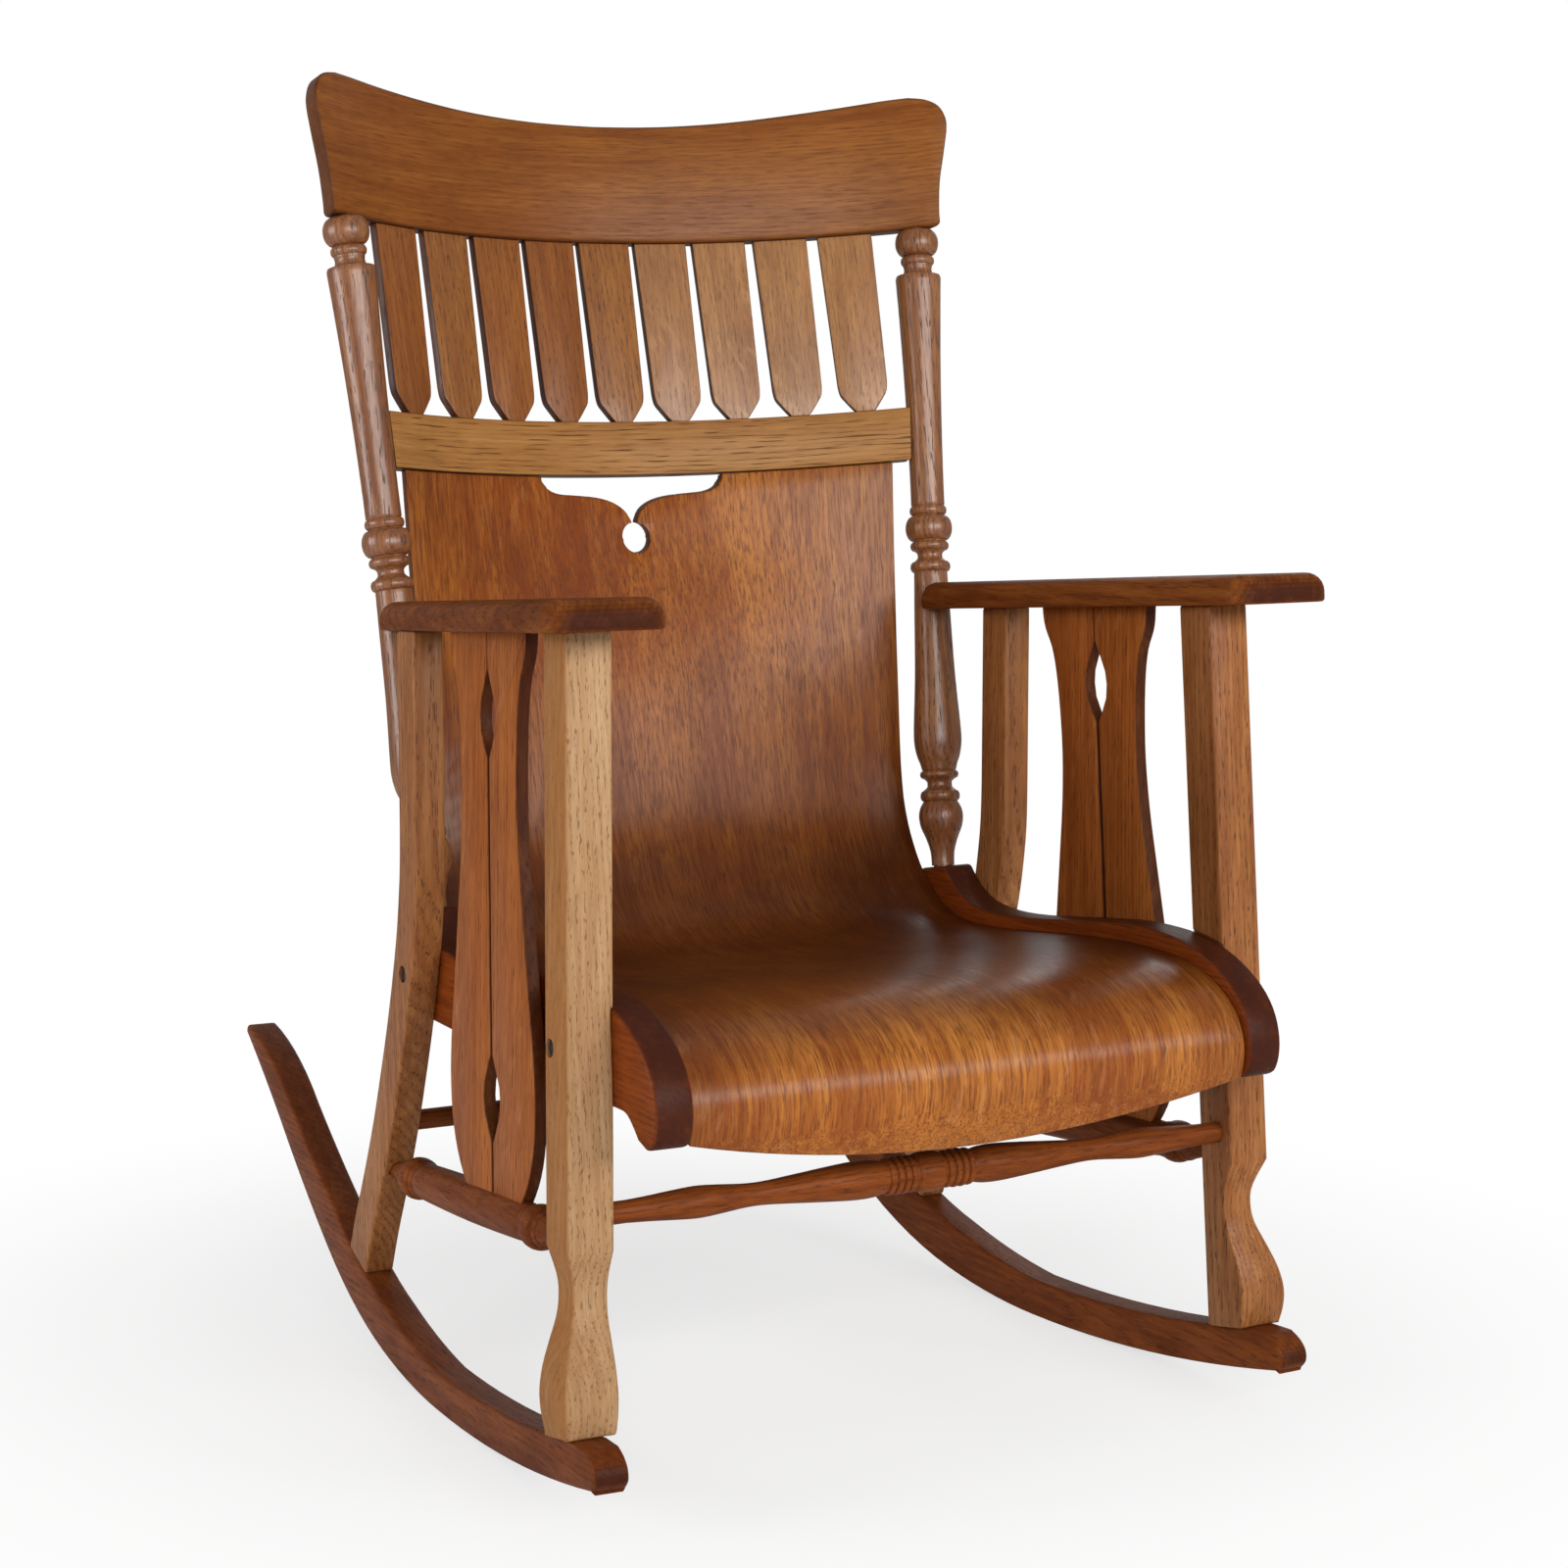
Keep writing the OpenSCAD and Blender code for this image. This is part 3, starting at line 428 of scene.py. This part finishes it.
def oak(name, light, deep, pores, dashes, rings, fibre, fleck=0.0, stain="stain", grime=0.3, rough=0.28,
        gloss=0.1, bump=0.35):
    """One finish of oak, on the piece's own grain; stain names the colour of its sawn edges"""
    found = bpy.data.materials.get(name)
    if found:
        return found
    colours = settings()[1]
    made = bpy.data.materials.new(name)
    made.use_nodes = True
    made.diffuse_color = rgba(light)
    tree = made.node_tree
    n = Nodes(tree)
    shader = tree.nodes["Principled BSDF"]
    grain = n.attribute("grain", "Vector")
    figure = n.placed(shared(oak_figure), {
        "Grain": grain, "Light": rgba(light), "Deep": rgba(deep), "Pore": rgba(colours.pore), "Pores": pores,
        "Dashes": dashes, "Rings": rings, "Fleck": fleck, "Fibre": fibre})
    # The panel's masks carry grime with painted shade, and wear with a painted sheen
    wear = n.placed(shared(oak_wear), {
        "Grain": grain, "Place": n.add("ShaderNodeTexCoord").outputs["Object"], "Color": figure["Color"],
        "Edge": n.attribute("edge", "Fac"), "Crook": n.attribute("grime", "Fac"),
        "Stain": rgba(getattr(colours, stain)), "Soot": rgba(colours.soot), "Grime": grime,
        "Worn": n.attribute("worn", "Fac"), "Bare": BARE_AND_SHEEN})
    relief = n.add("ShaderNodeBump")
    n.put(relief.inputs["Height"], figure["Height"])
    n.put(relief.inputs["Strength"], bump)
    n.put(relief.inputs["Distance"], PORE_DEPTH)
    n.put(shader.inputs["Base Color"], wear["Color"])
    n.put(shader.inputs["Roughness"], n.plus(n.plus(figure["Dull"], wear["Dull"]), rough, clamp=True))
    n.put(shader.inputs["Normal"], relief.outputs["Normal"])
    n.put(shader.inputs["Specular IOR Level"], gloss)
    return made


def iron():
    """Old dark screw heads with a little rust"""
    found = bpy.data.materials.get("old_iron")
    if found:
        return found
    colour = settings()[1].iron
    made = bpy.data.materials.new("old_iron")
    made.use_nodes = True
    tree = made.node_tree
    n = Nodes(tree)
    shader = tree.nodes["Principled BSDF"]
    spots = n.noise(n.add("ShaderNodeTexCoord").outputs["Object"], None, 4.0, 0.6, 900.0)
    rust = (colour[0] * 2.6, colour[1] * 1.7, colour[2] * 1.1, 1.0)
    n.put(shader.inputs["Base Color"], n.mix(n.ramp(spots, 0.45, 0.65), rgba(colour), rust))
    n.put(shader.inputs["Roughness"], n.ramp(spots, 0.3, 0.7, 0.45, 0.7))
    n.put(shader.inputs["Metallic"], n.ramp(spots, 0.4, 0.7, 0.8, 0.2))
    return made


# Finishes: each is a kind of board in this chair

FINISHES = {
    "crest": dict(pores=0.35, dashes=70.0, rings=0.25, fibre=0.55, gloss=0.2),
    "slat": dict(pores=0.75, dashes=120.0, rings=0.4, fleck=0.2, fibre=0.5, gloss=0.5),
    "slat_red": dict(pores=0.6, dashes=110.0, rings=0.4, fibre=0.5, gloss=0.4),
    # Paler slats on the right: their colour is a painted satin sheen
    "slat_pale": dict(pores=0.5, dashes=120.0, rings=0.3, fleck=0.5, fibre=0.5, gloss=0.6),
    "mid": dict(pores=0.8, dashes=34.0, rings=0.6, fibre=0.3, gloss=0.14),
    "leg": dict(pores=0.75, dashes=110.0, rings=0.6, fibre=0.45, gloss=0.22),
    "post": dict(pores=1.0, dashes=80.0, rings=0.8, fibre=0.7, rough=0.25, gloss=0.7, bump=0.6),
    "lyre": dict(pores=0.6, dashes=70.0, rings=0.45, fleck=0.3, fibre=0.4),
    "rail": dict(pores=0.6, dashes=60.0, rings=0.4, fibre=0.4),
    "arm": dict(pores=0.6, dashes=50.0, rings=0.5, fibre=0.4, grime=0.6, rough=0.36, gloss=0.05),
    "pale": dict(pores=0.55, dashes=210.0, rings=0.45, fibre=0.35, stain="pale_stain", grime=0.06,
                 rough=0.4),
    "panel": dict(pores=0.32, dashes=70.0, rings=0.25, fleck=0.2, fibre=0.9, grime=0.45, rough=0.22,
                  gloss=0.24, bump=0.3),
    "runner": dict(pores=0.6, dashes=60.0, rings=0.4, fibre=0.45, grime=0.45, gloss=0.08),
}


def finish(kind):
    colours = settings()[1]
    return oak(kind + "_oak_figured", getattr(colours, kind + "_light"), getattr(colours, kind + "_deep"),
               **FINISHES[kind])


# Mesh helpers

def grain_rows(along, broad):
    """Rows that turn a place into grain coordinates: along the grain, across it, and through the board"""
    x = along.normalized()
    z = (broad - x * broad.dot(x)).normalized()
    return Matrix((x, z.cross(x), z))


def round_arrises(bm, rounding, sharp, above):
    """Round the edges that turn by more than sharp degrees, but short ones only above a height"""
    hull = BVHTree.FromBMesh(bm)
    limit = math.radians(sharp)
    picked = [e for e in bm.edges if e.is_manifold and e.calc_face_angle(0.0) > limit
              and (e.calc_length() > SOCKET_EDGE or e.verts[0].co.z > above)]
    bmesh.ops.bevel(bm, geom=picked, offset=rounding, offset_type="OFFSET", segments=ARRIS_STEPS, profile=0.5,
                    affect="EDGES", clamp_overlap=False, material=-1)
    # Where the roundings of a thin wedge cross, their stray corners go back onto the piece
    for vert in bm.verts:
        near, _, _, gap = hull.find_nearest(vert.co)
        if gap > max(STRAY, STRAY_SHARE * rounding):
            vert.co = near


def mark_corners(bm, place, dirt_and_shade, rub_and_sheen):
    """Write the grain coordinates, the grime with painted shade and the wear with painted sheen of each
    corner
    """
    log = Vector((LOG_SHIFT * next(LOGS), 0, 0))
    grain = bm.verts.layers.float_vector.new("grain")
    grime = bm.verts.layers.float.new("grime")
    worn = bm.verts.layers.float.new("worn")
    for vert in bm.verts:
        spot = place(vert.co)
        vert[grain] = log + spot
        vert[grime] = dirt_and_shade(spot, vert.co) if dirt_and_shade else 0.0
        vert[worn] = rub_and_sheen(spot, vert.co) if rub_and_sheen else 0.0


def mark_faces(bm, along, facing, edge, end):
    """Write how far each face is a sawn edge or end grain, and shade all but the sharp edges smooth"""
    mask = bm.faces.layers.float.new("edge")
    for face in bm.faces:
        side = abs(face.normal.dot(facing(face.calc_center_median())))
        tip = abs(face.normal.dot(along))
        face[mask] = min(1.0, max(edge * (1 - side * side), end * max(0.0, tip - 0.5) * 2))
        face.smooth = True
    for e in bm.edges:
        e.smooth = e.calc_face_angle(0.0) < math.radians(SMOOTH_TURN)


def dress(node, kind, along=UP, broad=ACROSS, rounding=0.0, sharp=30.0, edge=1.0, end=1.0, bend=None,
          dirt_and_shade=None, rub_and_sheen=None, above=math.inf):
    """A copy of a CAD node with rounded arrises, grain coordinates, and masks of its edges, of grime with
    painted shade, and of wear with painted sheen

    The grain runs along one direction, and broad stands square to the board's broad faces. A bent piece
    has bend instead, which gives a place's grain coordinates or, when facing, the direction square to its
    broad faces there. edge and end say how dark the stain is on sawn edges and on end grain.
    """
    mesh = bpy.data.meshes.new(node + "_wood")
    bm = bmesh.new()
    bm.from_mesh(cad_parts[node].data)
    bmesh.ops.remove_doubles(bm, verts=bm.verts, dist=WELD)
    bmesh.ops.dissolve_limit(bm, angle_limit=math.radians(FLAT_TURN), verts=bm.verts, edges=bm.edges)
    if rounding > 0:
        round_arrises(bm, rounding, sharp, above)
    bmesh.ops.remove_doubles(bm, verts=bm.verts, dist=WELD)
    bm.normal_update()
    rows = grain_rows(along, broad)
    low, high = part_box(node)
    centre = (low + high) / 2
    mark_corners(bm, bend or (lambda co: rows @ (co - centre)), dirt_and_shade, rub_and_sheen)
    mark_faces(bm, rows[0], (lambda co: bend(co, facing=True)) if bend else (lambda co: rows[2]), edge, end)
    bm.to_mesh(mesh)
    bm.free()
    if "custom_normal" in mesh.attributes:
        mesh.attributes.remove(mesh.attributes["custom_normal"])
    piece = bpy.data.objects.new(node + "_wood", mesh)
    bpy.context.scene.collection.objects.link(piece)
    mesh.materials.append(finish(kind))
    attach(piece, "root")
    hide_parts(node)


def curved(deep):
    """Bend of a rail of the back: its grain coordinates run along the curve, up the back and through it"""
    origin = BACK_FOOT - BACK_OUT * (deep - BACK_CURVE)

    def bend(co, facing=False):
        local = co - origin
        across, through = local.x, -local.dot(BACK_OUT)
        if facing:
            return (ACROSS * across - BACK_OUT * through).normalized()
        return Vector((BACK_CURVE * math.atan2(across, through), local.dot(BACK_UP),
                       math.hypot(across, through) - BACK_CURVE))

    return bend


def toed(side):
    """Direction square to the broad faces of the lyre slats on one side"""
    return Vector((math.cos(TOE), side * math.sin(TOE), 0))


def along_panel(co, facing=False):
    """Bend of the panel: its grain coordinates run from lip to mid rail, across, and through the sheet"""
    best = None
    run = 0.0
    for (y0, z0), (y1, z1) in zip(PANEL_LINE, PANEL_LINE[1:]):
        step = math.hypot(y1 - y0, z1 - z0)
        dy, dz = (y1 - y0) / step, (z1 - z0) / step
        part = min(max((co.y - y0) * dy + (co.z - z0) * dz, 0.0), step)
        off = math.hypot(co.y - y0 - dy * part, co.z - z0 - dz * part)
        if best is None or off < best[0]:
            best = (off, run + part, Vector((0, dz, -dy)))
        run += step
    if facing:
        return best[2]
    return Vector((best[1], co.x, best[0]))


def crook_grime(grain, co):
    """Grime and painted shade in the crook of the seat, darker towards the rails"""
    if grain.x < CROOK:
        near = math.exp(-((grain.x - CROOK) / OVER_SEAT) ** 8)
    else:
        near = math.exp(-((grain.x - CROOK) / UP_BACK) ** 2)
    out = abs(co.x) / PANEL_HALF
    return min(1.0, near * (0.83 + 0.2 * out ** 2) + 0.22 * out ** 6)


def panel_wear(grain, co):
    """Paler on the front roll of the seat and on the right of the back: worn finish, with a painted highlight
    on the roll and a painted satin sheen on the back
    """
    roll = math.exp(-((grain.x - ROLL) / ROLL_REACH) ** 2)
    up = min(max((grain.x - BACK_PALES) / (BACK_PALEST - BACK_PALES), 0.0), 1.0)
    right = min(max((co.x - PALE_FROM) / (PALE_TO - PALE_FROM), 0.0), 1.0)
    return min(1.0, 0.75 * roll + 0.7 * up * right)


# Pieces

class ChairOperator(bpy.types.Operator):
    """Base of the operators that make the chair's pieces"""
    bl_options = {"REGISTER", "UNDO"}


class CHAIR_OT_rockers(ChairOperator):
    """Rockers, sawn from boards whose grain runs from front to back"""
    bl_idname = "chair.rockers"
    bl_label = "Rockers"

    def execute(self, context):
        edges = settings()[0]
        for side in SIDES:
            dress("rocker_" + side, "runner", ALONG, ACROSS, edges.rocker, edge=0.25)
        return {"FINISHED"}


class CHAIR_OT_legs(ChairOperator):
    """Square front legs with shaped feet, and bent rear legs"""
    bl_idname = "chair.legs"
    bl_label = "Legs"

    def execute(self, context):
        edges = settings()[0]
        # The sides of the left front leg are stained darker than its front, partly as painted shade
        dress("front_leg_l", "pale", UP, ALONG, edges.leg, edge=0.8, end=0.5)
        dress("front_leg_r", "leg", UP, ALONG, edges.leg, edge=0.0, end=0.5)
        for side in SIDES:
            dress("rear_leg_" + side, "leg", UP, ACROSS, edges.leg, edge=0.1, end=0.5)
        return {"FINISHED"}


class CHAIR_OT_arms(ChairOperator):
    """Flat arms with rounded upper edges, and the lyre slats that stand below them"""
    bl_idname = "chair.arms"
    bl_label = "Arms and lyre slats"

    def execute(self, context):
        edges = settings()[0]
        for side, sign in SIDES.items():
            dress("arm_" + side, "arm", ALONG, UP, edges.arm, sharp=50.0, edge=0.2)
            for half in ("front_", "rear_"):
                dress("arm_slat_" + half + side, "lyre", UP, toed(sign), edges.slat, edge=0.9)
        return {"FINISHED"}


class CHAIR_OT_stretchers(ChairOperator):
    """Turned side stretchers, the front stretcher with its rings, and the plain rear one"""
    bl_idname = "chair.stretchers"
    bl_label = "Stretchers"

    def execute(self, context):
        for side in SIDES:
            dress("side_stretcher_" + side, "runner", ALONG, UP, edge=0.0, end=0.0)
        for node in ("front_stretcher", "rear_stretcher"):
            dress(node, "runner", ACROSS, UP, edge=0.0, end=0.0)
        return {"FINISHED"}


class CHAIR_OT_seat(ChairOperator):
    """Seat rails with their horns, the bent panel and the cross bars below it"""
    bl_idname = "chair.seat"
    bl_label = "Seat"

    def execute(self, context):
        edges = settings()[0]
        for side in SIDES:
            dress("seat_rail_" + side, "rail", ALONG, ACROSS, edges.rail)
        for place in ("front", "rear"):
            dress("cross_bar_" + place, "runner", ACROSS, ALONG, edges.bar, edge=0.0)
        # The panel's crook gets grime and painted shade; its front roll a worn finish with a painted
        # highlight, and the right of its back a painted sheen
        dress("seat_panel", "panel", rounding=edges.panel, sharp=50.0, edge=0.8, end=0.0,
              bend=along_panel, dirt_and_shade=crook_grime, rub_and_sheen=panel_wear)
        return {"FINISHED"}


class CHAIR_OT_back(ChairOperator):
    """Turned posts, curved rails and the nine short slats of the back"""
    bl_idname = "chair.back"
    bl_label = "Back"

    def execute(self, context):
        edges = settings()[0]
        for side in SIDES:
            dress("post_" + side, "post", BACK_UP, ACROSS, edge=0.0, end=0.0)
        dress("mid_rail", "mid", rounding=edges.slat, edge=0.9, end=0.0,
              bend=curved(MID_RAIL_DEEP))
        dress("crest_rail", "crest", rounding=edges.crest, edge=0.9, end=0.0,
              bend=curved(CREST_DEEP), above=CREST_ENDS)
        middle = (len(SLAT_KINDS) + 1) / 2
        for i, kind in enumerate(SLAT_KINDS, 1):
            turn = math.asin((i - middle) * SLAT_PITCH / BACK_CURVE)
            broad = BACK_OUT * math.cos(turn) - ACROSS * math.sin(turn)
            dress("back_slat_%d" % i, kind, BACK_UP, broad, edges.slat)
        return {"FINISHED"}


class CHAIR_OT_screws(ChairOperator):
    """Dark sunk screw heads in the legs"""
    bl_idname = "chair.screws"
    bl_label = "Screws"

    def execute(self, context):
        for place in ("front", "rear"):
            for side in SIDES:
                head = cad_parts["screw_%s_%s" % (place, side)]
                head.data.materials.clear()
                head.data.materials.append(iron())
        return {"FINISHED"}


# Stage

def area_light(name, spot, aim, width, height, power, colour=(1, 1, 1)):
    """A soft rectangular lamp that faces a point"""
    lamp = bpy.data.lights.new(name, "AREA")
    lamp.shape = "RECTANGLE"
    lamp.size = width
    lamp.size_y = height
    lamp.energy = power
    lamp.color = colour
    made = bpy.data.objects.new(name, lamp)
    made.location = spot
    made.rotation_euler = (Vector(aim) - Vector(spot)).to_track_quat("-Z", "Y").to_euler()
    bpy.context.scene.collection.objects.link(made)


def studio_world():
    """White where the camera sees it, and much dimmer as light and in reflections"""
    world = bpy.data.worlds.new("studio")
    world.use_nodes = True
    n = Nodes(world.node_tree)
    sky = world.node_tree.nodes["Background"]
    rays = n.add("ShaderNodeLightPath").outputs
    view = n.times(rays["Is Camera Ray"], WORLD_IN_VIEW)
    gloss = n.times(rays["Is Glossy Ray"], WORLD_IN_GLOSS)
    n.put(sky.inputs["Color"], (1, 1, 1, 1))
    n.put(sky.inputs["Strength"], n.plus(n.plus(view, gloss), WORLD_LIGHT))
    return world


def floor_material():
    """Pale floor that fades to white far from the chair"""
    made = bpy.data.materials.new("pale_floor")
    made.use_nodes = True
    tree = made.node_tree
    n = Nodes(tree)
    shader = tree.nodes["Principled BSDF"]
    rays = n.add("ShaderNodeLightPath").outputs
    n.put(shader.inputs["Base Color"], (FLOOR_GREY, FLOOR_GREY, FLOOR_GREY, 1))
    n.put(shader.inputs["Roughness"], 0.9)
    n.put(shader.inputs["Specular IOR Level"], 0.1)
    n.put(shader.inputs["Emission Color"], (1, 1, 1, 1))
    n.put(shader.inputs["Emission Strength"], n.times(rays["Is Camera Ray"], FLOOR_GLOW))
    white = n.add("ShaderNodeEmission")
    length = n.add("ShaderNodeVectorMath", operation="LENGTH")
    n.put(length.inputs[0], n.add("ShaderNodeTexCoord").outputs["Object"])
    far = n.ramp(length.outputs["Value"], FADE_FROM, FADE_TO, FADE_START, 1.0)
    blend = n.add("ShaderNodeMixShader")
    n.put(blend.inputs[0], n.times(far, rays["Is Camera Ray"]))
    n.put(blend.inputs[1], shader.outputs[0])
    n.put(blend.inputs[2], white.outputs[0])
    n.put(tree.nodes["Material Output"].inputs["Surface"], blend.outputs[0])
    return made


def pale_floor():
    """A wide round floor at the height where the rockers stand"""
    mesh = bpy.data.meshes.new("floor")
    bm = bmesh.new()
    bmesh.ops.create_circle(bm, cap_ends=True, segments=96, radius=FLOOR_RADIUS)
    bm.to_mesh(mesh)
    bm.free()
    mesh.materials.append(floor_material())
    floor = bpy.data.objects.new("floor", mesh)
    bpy.context.scene.collection.objects.link(floor)


def photo_camera():
    """The camera of the photograph"""
    lens = bpy.data.cameras.new("camera")
    lens.sensor_width = SENSOR
    lens.lens = LENS
    lens.shift_x, lens.shift_y = LENS_SHIFT
    lens.clip_end = 100.0
    camera = bpy.data.objects.new("camera", lens)
    camera.location = CAMERA_PLACE
    camera.rotation_euler = CAMERA_LOOK.to_track_quat("-Z", "Y").to_euler()
    bpy.context.scene.collection.objects.link(camera)
    return camera


class CHAIR_OT_stage(ChairOperator):
    """Pale floor, soft studio lamps and the camera of the photograph"""
    bl_idname = "chair.stage"
    bl_label = "Stage and camera"

    def execute(self, context):
        scene = context.scene
        scene.view_settings.view_transform = "Standard"
        pale_floor()
        scene.world = studio_world()
        for name, lamp in LAMPS.items():
            area_light(name, **lamp)
        scene.camera = photo_camera()
        return {"FINISHED"}


PIECES = [CHAIR_OT_stage, CHAIR_OT_rockers, CHAIR_OT_legs, CHAIR_OT_arms, CHAIR_OT_stretchers, CHAIR_OT_seat,
          CHAIR_OT_back, CHAIR_OT_screws]


class CHAIR_PT_sidebar(bpy.types.Panel):
    """Lists the chair's sizes, colours and pieces"""
    bl_idname = "CHAIR_PT_sidebar"
    bl_label = "Rocking chair"
    bl_space_type = "VIEW_3D"
    bl_region_type = "UI"
    bl_category = "Chair"

    def draw(self, context):
        layout = self.layout
        for values in (context.scene.chair_edges, context.scene.chair_colours):
            box = layout.box()
            for key in values.__annotations__:
                box.prop(values, key)
        for piece in PIECES:
            layout.operator(piece.bl_idname)


CLASSES = [ChairEdges, ChairColours, *PIECES, CHAIR_PT_sidebar]


def register():
    for each in CLASSES:
        bpy.utils.register_class(each)
    bpy.types.Scene.chair_edges = bpy.props.PointerProperty(type=ChairEdges)
    bpy.types.Scene.chair_colours = bpy.props.PointerProperty(type=ChairColours)


def unregister():
    del bpy.types.Scene.chair_colours
    del bpy.types.Scene.chair_edges
    for each in reversed(CLASSES):
        bpy.utils.unregister_class(each)


def main():
    register()
    for piece in PIECES:
        group_name, call = piece.bl_idname.split(".")
        getattr(getattr(bpy.ops, group_name), call)()


if __name__ == "__main__":
    main()
